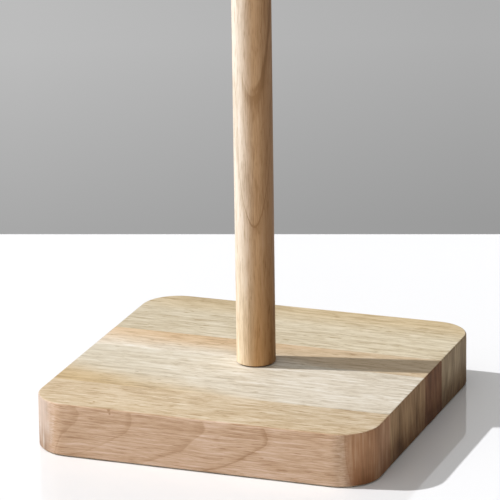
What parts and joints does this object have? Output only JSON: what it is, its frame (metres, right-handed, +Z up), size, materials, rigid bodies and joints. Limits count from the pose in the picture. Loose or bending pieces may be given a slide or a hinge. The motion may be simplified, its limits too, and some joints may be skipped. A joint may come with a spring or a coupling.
{
  "type": "paper towel holder",
  "caption": "Freestanding wooden paper towel holder: an upright dowel screwed into a square base glued up from staves, on rubber pads.",
  "frame": {"origin": "on the table, under the middle of the square base", "axes": "+Z up along the pole, X along the staves and their grain, -Y to the front"},
  "size_m": [0.18, 0.18, 0.3291],
  "materials": {
    "front_stave": "tan oak-toned hardwood, planed and sanded, satin lacquer",
    "middle_front_stave": "pale oak-toned hardwood, planed and sanded, satin lacquer",
    "middle_back_stave": "amber to pale hardwood, planed and sanded, satin lacquer",
    "back_stave": "straw-toned hardwood, planed and sanded, satin lacquer",
    "pole_wood": "turned hardwood dowel, satin lacquer",
    "washer_fibre": "vulcanised fibre washer, dark grey, matt",
    "zinc_steel": "zinc-plated steel",
    "foot_rubber": "moulded black rubber, matt"
  },
  "bodies": {
    "base": {"stave_front": "front_stave", "stave_middle_front": "middle_front_stave", "stave_middle_back": "middle_back_stave", "stave_back": "back_stave", "tee_nut": "zinc_steel", "foot_front_left": "foot_rubber", "foot_front_right": "foot_rubber", "foot_back_left": "foot_rubber", "foot_back_right": "foot_rubber"},
    "pole_seat": {"pole_washer": "washer_fibre"},
    "upright": {"pole": "pole_wood", "hanger_bolt": "zinc_steel"}
  },
  "joints": [
    {"name": "pole_rise", "type": "slide", "parent": "base", "child": "pole_seat", "axis": [0, 0, 1], "range_m": [0, 0.0125]},
    {"name": "pole_turn", "type": "hinge", "parent": "pole_seat", "child": "upright", "pos_m": [0, 0, 0.0291], "axis": [0, 0, 1], "range_deg": [0, 3600]}
  ],
  "couplings": [
    {"joint": "pole_turn", "follows": "pole_rise", "rad_per_m": 5026.5}
  ]
}
